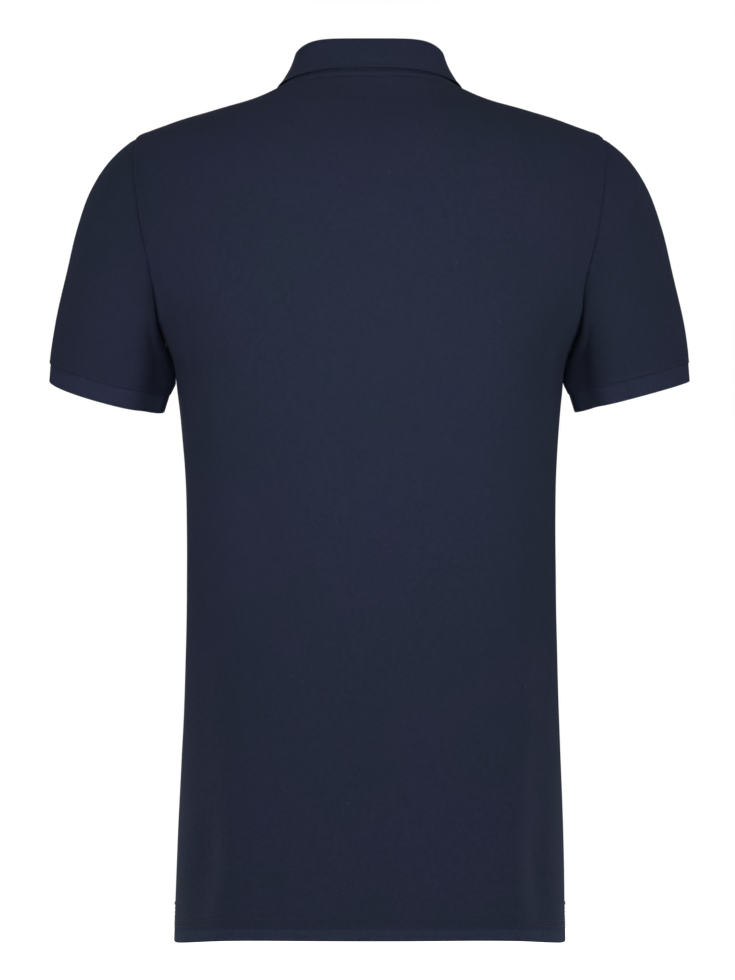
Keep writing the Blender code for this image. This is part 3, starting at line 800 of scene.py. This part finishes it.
def sleeve_surface(share, around, side):
    """Points, normals and the way down of a sleeve's finished outer face."""
    base = sleeve(share, around, side)
    down, out = sleeve_directions(share, around, side)
    # the first row faces as the body does, but for its lower part
    top = np.clip(2 * np.cos(around) + 0.5, 0, 1)[..., None] * (share[..., None] == 0)
    body_out = torso_normal(*armhole_place(around, side))
    out = unit(top * body_out + (1 - top) * out)
    length, to_cuff = share * SLEEVE_LENGTH, (1 - share) * SLEEVE_LENGTH
    under = np.abs((around % math.tau) - math.pi) * UNDERARM_RADIUS
    push = sleeve_push(share, around) * step(share, 0.0, 0.12)
    push = push - SEAM_GROOVE * bell(under, SEAM_WIDTH)
    push = push - STITCH_GROOVE * bell(to_cuff - CUFF_STITCHES, STITCH_WIDTH)
    push = push + rumple(base) * step(length, 0.0, SMOOTH_EDGE)
    # at the armhole the cloth turns in with the panel's, so the seam stays shut
    groove = ARMHOLE_GROOVE * bell(length, SEAM_WIDTH)
    return base + push[..., None] * out - groove[..., None] * body_out, out, down


def add_sleeve(name, side):
    first, last = (0, 0.004, 0.009, 0.016, 0.026), (0.974, 0.980, 0.986, 0.992, 0.996, 1.0)
    share = np.concatenate((first, np.linspace(0.04, 0.965, 50), last))[:, None]
    share, around = np.broadcast_arrays(share, circle(SLEEVE_COLUMNS))
    outer, out, down = sleeve_surface(share, around, side)
    outer = outer + SEAM_GAP * down * (share == 0)[..., None]
    full = rounding((1 - share) * SLEEVE_LENGTH, PIQUE_WALL / 2)
    faces = wall_faces(outer, out, PIQUE_WALL, full)
    return wall_object(name, *(face[:, ::side] for face in faces), PIQUE, closed=True)


def add_cuff(name, side):
    around = circle(CUFF_RIBS * RIB_SAMPLES)
    down, out = sleeve_directions(1.0, around, side)
    push = sleeve_push(1.0, around)[:, None] * out
    top = sleeve(1.0, around, side) + SEAM_GAP * down - CUFF_INSET * out + push
    edge = sleeve_section(np.array(CUFF_EDGE), around, side, CUFF_BACK_DROP[side]) + push
    share = np.array((0, 0.02, 0.06, 0.15, 0.3, 0.45, 0.6, 0.75, 0.87, 0.94, 0.965, 0.985, 1.0))
    share = share[:, None]
    outer = top + (edge - top) * share[..., None]
    # equal ribs: each column's phase is its length round the cuff
    round_it = lengths(np.concatenate((outer[6], outer[6][:1])))
    phase = math.tau * CUFF_RIBS * round_it[:-1] / round_it[-1]
    ribs = RIB_DEPTH * (np.cos(phase) - 1) / 2 * (1 - 0.8 * step(share, 0.9, 1.0))
    ribs = ribs[..., None] * out
    height = np.linalg.norm(edge - top, axis=-1).mean()
    front, rear = wall_faces(outer, out, RIB_WALL, rounding((1 - share) * height, RIB_WALL / 2))
    front, rear = (front + ribs)[:, ::side], (rear - ribs)[:, ::side]
    return wall_object(name, front, rear, RIB, closed=True)


# ---- collar
LEAF_THINNING, LEAF_TAPER = 0.45, 0.0140  # share of the wall gone at the edge, and from where
LEAF_THINNEST = 1.6  # the most that is gone anywhere, in half thicknesses
EDGE_BEAD, BEAD_PLACE, BEAD_WIDTH = 0.00012, 0.0016, 0.0010
STAND_ROWS = 14
BEND_ROWS = 12
# Rows on both sides of the leaf's start that are eased, and how often.
EASED_BEFORE, EASED_AFTER, EASINGS = 6, 8, 6


def leaf_edge(turn):
    rows = np.array(LEAF_EDGE)
    mirrored = rows[:0:-1] * (-1, -1, 1, 1, 1)
    whole = np.concatenate((mirrored, rows))
    columns = smooth(whole[:, 1:], whole[:, 0], np.degrees(turn))
    return columns[..., :3], columns[..., 3:]


def collar_grid():
    turn = np.linspace(-COLLAR_END, COLLAR_END, 260)
    foot = oval(turn, *COLLAR_FOOT)
    fold = oval(turn, *COLLAR_FOLD)
    edge, bulge = leaf_edge(turn)
    tangent = unit(oval(turn + PROBE, *COLLAR_FOLD) - oval(turn - PROBE, *COLLAR_FOLD))
    outward = unit(np.cross((0.0, 0.0, 1.0), tangent))
    up = np.cross(tangent, outward)
    inner, outer = fold - FOLD_RADIUS * outward, fold + FOLD_RADIUS * outward
    stand = np.linspace(0, 1, STAND_ROWS, endpoint=False)[:, None, None]
    angle = np.linspace(0, math.pi, BEND_ROWS, endpoint=False)[:, None, None]
    leaf = np.concatenate((np.linspace(0, 0.96, 30), (0.972, 0.982, 0.990, 0.996, 1.0)))
    leaf = leaf[:, None, None]
    lift = bulge * 4 * leaf * (1 - leaf) * unit(outward + up)
    rows = np.concatenate(
        (
            foot + (inner - foot) * stand,
            fold + FOLD_RADIUS * (np.sin(angle) * up - np.cos(angle) * outward),
            outer + (edge - outer) * leaf + lift,
        )
    )
    # ease the bend where the fold runs into the leaf
    low = STAND_ROWS + BEND_ROWS - EASED_BEFORE
    high = STAND_ROWS + BEND_ROWS + EASED_AFTER
    for _ in range(EASINGS):
        beside = rows[low - 1 : high - 1] + rows[low + 1 : high + 1]
        rows[low:high] += (beside - 2 * rows[low:high]) / 4
    return rows


def add_collar(name):
    middle = collar_grid()
    normal = unit(np.cross(np.gradient(middle, axis=0), np.gradient(middle, axis=1)))
    from_foot, from_end = lengths(middle), lengths(middle, 1)
    to_edge = from_foot[-1] - from_foot
    to_side = np.minimum(from_end, from_end[:, -1:] - from_end)
    full = rounding(np.minimum(to_edge, to_side), RIB_WALL / 2)[..., None]
    bead = EDGE_BEAD * bell(to_edge - BEAD_PLACE, BEAD_WIDTH)
    half = RIB_WALL / 2 * full + bead[..., None]
    # the leaf thins towards its edge, on its outer face
    thinned = LEAF_THINNING * RIB_WALL * (1 - step(to_edge, 0.0, LEAF_TAPER))[..., None]
    outer = middle - (half - np.minimum(thinned, LEAF_THINNEST * half)) * normal
    return wall_object(name, outer, middle + half * normal, FLAT_KNIT)


# ---- placket and buttons
PLACKET_STITCHES = 0.0020
PLACKET_BOX = 0.0240  # height of the stitched box at the foot of the placket
OVER_LIFT = PLY_GAP + PIQUE_WALL
HOLE_RADIUS, HOLE_OFFSET, HOLE_DEPTH = 0.0009, 0.0014, 0.0014
HOLED = 0.6  # share of the button's radius that its holes lie in
# A button's thread: its length in hole offsets, how high it lies, and how thick it is.
THREAD_LENGTH, THREAD_LIFT, THREAD_RADIUS = 2.4, 0.0002, 0.0003
BUTTON_SIDES = 96
BUTTON_DISH = 0.0007
FRONT_LEVELS = np.linspace(UNDERARM - 0.02, NECK, 800)


def placket_strip(name, lift, top_level):
    """A strip of the placket, lying at `lift` over the front."""
    foot = UNDERARM + np.array((0, 0.0002, 0.0005, 0.0009))
    levels = np.concatenate((foot, np.linspace(UNDERARM + 0.002, top_level, 110)))[:, None]
    share = (0, 0.12, 0.25, 0.4, 0.55, 0.7, 0.8, 0.86, 0.9, 0.94, 0.965, 0.985, 1.0)
    across = PLACKET_WIDTH / 2 * np.array(share)
    across = np.concatenate((-across[:0:-1], across))
    turns = HALF + turn_across(across, levels)
    levels = levels + 0 * turns
    base, normal = torso(levels, turns), torso_normal(levels, turns)
    inset = PLACKET_WIDTH / 2 - np.abs(across) + 0 * levels
    lowest = levels - UNDERARM
    edge = (bell(inset - PLACKET_STITCHES, FINE_WIDTH), bell(lowest - PLACKET_STITCHES, FINE_WIDTH))
    rise = rumple(base) + lift - STITCH_GROOVE * np.maximum(*edge)
    full = rounding(np.minimum(inset, lowest), PIQUE_WALL / 2)
    faces = wall_faces(base + rise[..., None] * normal, normal, PIQUE_WALL, full)
    return wall_object(name, *faces, PIQUE)


def placket_path(across, levels, lift):
    """A path on the placket at sideways distances `across` from its middle."""
    across, levels = np.broadcast_arrays(across, levels)
    return on_panel(levels, HALF + turn_across(across, levels), lift)


def button_level(node, offset=0.0):
    """The level up the middle of the front at an offset from a button's height."""
    low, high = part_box(node)
    heights = (low.z + high.z) / 2 + offset
    return np.interp(heights, torso(FRONT_LEVELS, HALF)[:, 2], FRONT_LEVELS)


def add_button(name, node):
    """A four-hole button, turned, with a raised rim, on the place of its CAD node."""
    level = button_level(node)
    normal = torso_normal(level, HALF)
    base = torso(level, HALF) + (PIQUE_WALL + 2 * PLY_GAP) * normal
    side = np.array((1.0, 0.0, 0.0))
    up = np.cross(normal, side)
    rim = (0.68, 0.73, 0.77, 0.82, 0.87, 0.91, 0.95, 0.98, 1.0, 1.0, 0.99, 0.96, 0.90, 0.0)
    radius = np.concatenate(((0.0,), np.linspace(0.03, 0.51, 13), (0.56, 0.62), rim))
    radius = BUTTON_RADIUS * radius
    dish, full = BUTTON_HEIGHT - BUTTON_DISH, BUTTON_HEIGHT
    rim = (dish, dish + 0.0001, dish + 0.0004, full - 0.0001, full, full, full - 0.0002)
    foot = (full - 0.0005, full * 0.6, full * 0.4, 0.0006, 0.0003, 0.0, 0.0)
    z = np.concatenate((np.full(16, dish), rim, foot))
    angle = circle(BUTTON_SIDES)
    x, y = radius[:, None] * np.cos(angle), radius[:, None] * np.sin(angle)
    apart = np.hypot(np.abs(x) - HOLE_OFFSET, np.abs(y) - HOLE_OFFSET)
    sunk = HOLE_DEPTH * (1 - step(apart, HOLE_RADIUS * 0.75, HOLE_RADIUS))
    holed = (radius < HOLED * BUTTON_RADIUS) & (z > 0)
    depth = z[:, None] - sunk * holed[:, None]
    points = base + x[..., None] * side + y[..., None] * up + depth[..., None] * normal
    faces = quads(grid_numbers(points, 0, closed=True))
    button = mesh_object(name, points.reshape(-1, 3), faces, PLASTIC)
    # the middle ring and the last one close in one point each
    weld = button.modifiers.new("weld", "WELD")
    weld.merge_threshold = 0.00001
    ends = np.linspace(-1.25, 1.25, 9)[:, None] * HOLE_OFFSET * up + (dish + THREAD_LIFT) * normal
    normals = np.tile(normal, (len(ends), 1))
    rows = [(base + sign * HOLE_OFFSET * side + ends, normals) for sign in (1, -1)]
    size = {"length": THREAD_LENGTH * HOLE_OFFSET, "gap": 0.0001, "radius": THREAD_RADIUS}
    sewing(name + "_thread", rows, "button", **size)
    return button


# ---- the shirt
TACK_HALF, TACK_LIFT = 0.0030, 0.0004
# A buttonhole's reach below and above the button's middle, rows, slit, half width and height.
HOLE_BELOW, HOLE_ABOVE, HOLE_ROWS = -0.0088, 0.0066, 34
SLIT_HALF, HOLE_HALF, HOLE_LIFT = 0.0004, 0.0017, 0.0004


def dress(obj, node):
    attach(obj, "root")
    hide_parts(node)
    return obj


def ladder(starts, ends, normals):
    """Rows of one stitch each, close together, from each start to its end."""
    return [
        (np.linspace(start, end, 5), np.tile(normal, (5, 1)))
        for start, end, normal in zip(starts, ends, normals)
    ]


def panel_stitches(panel_name, middle):
    """The rows sewn through the front or back: hem, armholes, vents, shoulders and neck."""
    turns = middle + np.linspace(-1.52, 1.52, 700)
    hems = [on_panel(np.full(turns.shape, height), turns, HEM_LIFT) for height in HEM_STITCHES]
    rows = []
    for side in (1, -1):
        edges = PANEL_EDGES[(middle, side)]
        inward = side if middle == 0 else -side
        levels, turns = offset_path(*edges["armhole"], ARMHOLE_STITCHES, inward)
        keep = np.abs((turns - middle + HALF) % math.tau - HALF) < QUARTER - 0.01
        rows.append(on_panel(levels[keep], turns[keep], ALLOWANCE_LIFT))
        levels, turns = offset_path(*edges["vent"], VENT_STITCHES, inward)
        rows.append(on_panel(levels[2:], turns[2:], 0.0002))
        if middle == 0:
            path = offset_path(*edges["shoulder"], SHOULDER_STITCHES, inward)
            rows.append(on_panel(*path))
    if middle == 0:
        turns = np.linspace(-1.5, 1.5, 300)
        path = offset_path(np.full(turns.shape, NECK), turns, NECK_STITCHES, 1)
        rows.append(on_panel(*path, STITCH_GROOVE - NECK_GROOVE))
    return [
        sewing(panel_name + "_hem_stitches", hems),
        sewing(panel_name + "_seam_stitches", rows),
    ]


def vent_tacks(side):
    """A dense bar of stitches across the seam, just above the vent."""
    levels = VENT_HEIGHT + np.linspace(0.0, 0.0020, 6)
    reach = smooth(TORSO, TORSO_KNOTS, levels)[:, 2]
    halfway = np.arccos((TACK_HALF / reach) ** (TORSO[0][6] / 2))
    ends = []
    for turns in (side * halfway, side * (HALF - halfway)):
        ends.append(torso(levels, turns) + TACK_LIFT * torso_normal(levels, turns))
    return ladder(*ends, torso_normal(levels, side * QUARTER))


def buttonhole(node):
    """The close stitches round an upright buttonhole, under a button."""
    levels = button_level(node, np.linspace(HOLE_BELOW, HOLE_ABOVE, HOLE_ROWS))
    rows = []
    for side in (1, -1):
        starts, normals = placket_path(side * SLIT_HALF, levels, OVER_LIFT + HOLE_LIFT)
        ends, _ = placket_path(side * HOLE_HALF, levels, OVER_LIFT + HOLE_LIFT)
        rows += ladder(starts, ends, normals)
    return rows


back = dress(add_panel("back_panel", 0, BACK_ARMHOLE), "back")
front = dress(add_panel("front_panel", HALF, FRONT_ARMHOLE), "front")
tacks = sewing("vent_tacks", vent_tacks(1) + vent_tacks(-1), radius=0.0002)
panel_stitches("back", 0) + [tacks]
panel_stitches("front", HALF)

collar = dress(add_collar("collar_knit"), "collar")

for side, side_name in ((1, "left"), (-1, "right")):
    around = np.linspace(0, math.tau, 500)
    share = np.full(around.shape, 1 - CUFF_STITCHES / SLEEVE_LENGTH)
    points, out, _ = sleeve_surface(share, around, side)
    stitches = sewing("cuff_stitches_" + side_name, [(points, out)])
    tube = dress(add_sleeve("sleeve_cloth_" + side_name, side), "sleeve_" + side_name)
    cuff = dress(add_cuff("cuff_rib_" + side_name, side), "cuff_" + side_name)

levels = np.linspace(UNDERARM + PLACKET_STITCHES, NECK - 0.004, 300)
edge_at = PLACKET_WIDTH / 2 - PLACKET_STITCHES
rows = [placket_path(sign * edge_at, levels, OVER_LIFT) for sign in (1, -1)]
for height in (PLACKET_STITCHES, PLACKET_BOX):
    across = np.linspace(-edge_at, edge_at, 60)
    rows.append(placket_path(across, UNDERARM + height, OVER_LIFT))
on_placket = [sewing("placket_stitches", rows)]
for number in (1, 2, 3):
    node = "button_%d" % number
    holes = sewing("buttonhole_%d" % number, buttonhole(node), length=0.0012, radius=0.00016)
    on_placket.append(holes)
    dress(add_button("button_turned_%d" % number, node), node)
placket_over = dress(placket_strip("placket_over", OVER_LIFT, NECK), "placket_top")
placket_below = dress(
    placket_strip("placket_below", -PIQUE_WALL - PLY_GAP, NECK - 0.0145), "placket_under"
)

# ---- camera, light and floor
scene = bpy.context.scene
scene.view_settings.view_transform = "Standard"
scene.view_settings.look = "None"

CAMERA = (0.0017, 5.0, -0.335)
SENSOR = 36.0
PHOTO_ROWS, PIXEL = 980, 0.00085  # and a pixel's metres at the middle of the shirt
camera_data = bpy.data.cameras.new("camera")
camera_data.sensor_width = SENSOR
camera_data.lens = SENSOR * CAMERA[1] / (PHOTO_ROWS * PIXEL)
camera = bpy.data.objects.new("camera", camera_data)
camera.location = CAMERA
camera.rotation_euler = (QUARTER, 0.0, HALF)
scene.collection.objects.link(camera)
scene.camera = camera

# The studio is white to the camera, and lights the shirt softly, mostly from above.
# How bright it is straight ahead and below, and straight above.
LEVEL_LIGHT, OVERHEAD_LIGHT = 0.26, 0.625
WHITE = (1.0, 1.0, 1.0, 1)
world = bpy.data.worlds.new("studio")
world.use_nodes = True
studio = Nodes(world.node_tree)
seen = studio.new("ShaderNodeLightPath").outputs["Is Camera Ray"]
direction = studio.new("ShaderNodeSeparateXYZ")
sky = studio.new("ShaderNodeTexCoord").outputs["Generated"]
studio.feed(direction, {0: sky})
strength = studio.spread(direction.outputs["Z"], 0.0, 1.0, LEVEL_LIGHT, OVERHEAD_LIGHT)
strength = studio.math("MAXIMUM", seen, strength)
background = world.node_tree.nodes["Background"]
studio.feed(background, {"Color": WHITE, "Strength": strength})
scene.world = world

# Round lamps, all aimed near the shirt's middle: sizes in metres, powers in watts, and the
# angle of each one's beam in degrees.
#    name, place, aim_z, size, power, beam
LAMPS = (
    ("left_box", (2.0, 2.0, -0.40), -0.35, 1.2, 20.4, 180),
    ("right_box", (-2.0, 2.0, -0.40), -0.35, 1.2, 19.8, 180),
    ("low_left_box", (1.4, 1.0, -1.00), -0.50, 0.7, 4.9, 180),
    ("low_right_box", (-1.4, 1.0, -1.00), -0.50, 0.7, 6.7, 180),
    ("low_middle_box", (0.0, 2.0, -1.20), -0.20, 0.8, 4.5, 180),
    ("high_beam", (0.0, 2.2, -0.10), -0.12, 0.4, 0.172, 14),
    ("low_beam", (0.0, 2.2, -0.40), -0.36, 0.4, 0.092, 14),
    ("left_rim", (1.6, -1.1, -0.74), -0.68, 0.3, 0.16, 12),
    ("right_rim", (-1.6, -1.1, -0.74), -0.68, 0.3, 0.16, 12),
    ("front_box", (0.3, -3.4, 0.10), -0.35, 1.6, 60.0, 180),
)
for name, place, aim_z, size, power, beam in LAMPS:
    lamp = bpy.data.lights.new(name, "AREA")
    lamp.shape = "DISK"
    lamp.size = size
    lamp.energy = power
    lamp.spread = math.radians(beam)
    light = bpy.data.objects.new(name, lamp)
    light.location = place
    towards = Vector((0.0, 0.0, aim_z)) - Vector(place)
    light.rotation_euler = towards.to_track_quat("-Z", "Y").to_euler()
    light.visible_camera = False
    scene.collection.objects.link(light)

# A floor under the wearer's feet that brightens away from the shirt, like a lit backdrop.
FLOOR_HEIGHT, FLOOR_REACH = -1.60, 12.0
FLOOR_PAINT = (0.9, 0.9, 0.9, 1)
GLOW_REACH, GLOW = (1.8, 3.0), (0.35, 1.0)  # distances, and how bright it is there
paint, nodes, shader, place = principled("floor_paint")
apart = nodes.new("ShaderNodeVectorMath", operation="LENGTH")
nodes.feed(apart, {0: place})
glow = nodes.spread(apart.outputs["Value"], *GLOW_REACH, *GLOW)
nodes.feed(shader, {"Base Color": FLOOR_PAINT, "Roughness": 0.9})
nodes.feed(shader, {"Emission Color": WHITE, "Emission Strength": glow})
corners = FLOOR_REACH * np.array(((-1, -1, 0), (1, -1, 0), (1, 1, 0), (-1, 1, 0)))
corners = corners + (0, 0, FLOOR_HEIGHT)
floor = mesh_object("floor", corners, np.arange(4)[None], paint)
floor.visible_diffuse = False  # it doesn't light the shirt
floor.visible_glossy = False
